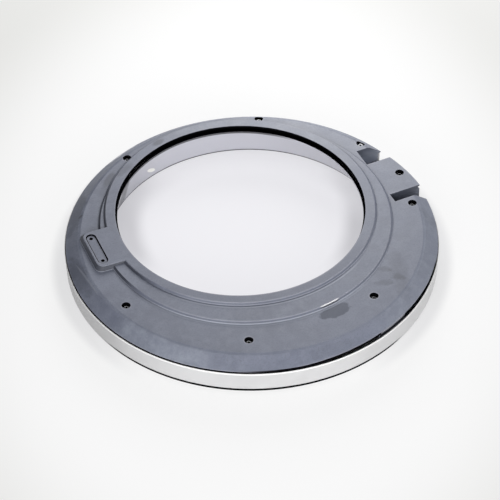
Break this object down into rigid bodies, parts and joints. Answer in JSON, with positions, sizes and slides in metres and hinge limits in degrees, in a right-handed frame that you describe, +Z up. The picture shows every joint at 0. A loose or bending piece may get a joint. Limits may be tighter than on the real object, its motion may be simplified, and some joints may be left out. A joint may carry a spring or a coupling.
{
  "type": "washing machine door frame",
  "caption": "Round two-part plastic door frame of a front-loading washer: a light front frame with a conical opening, and a grey back frame with hinge notches and a latch platform.",
  "frame": {"origin": "centre of the outer circle, on the table that the front face lies on", "axes": "+Z up out of the back of the door, +X from the latch to the hinge, +Y to the narrow side of the ring"},
  "size_m": [0.4595, 0.46, 0.052],
  "materials": {
    "outer_frame": "satin",
    "inner_frame": "matte"
  },
  "bodies": {
    "root": {"outer_frame": "outer_frame", "inner_frame": "inner_frame"}
  },
  "joints": []
}
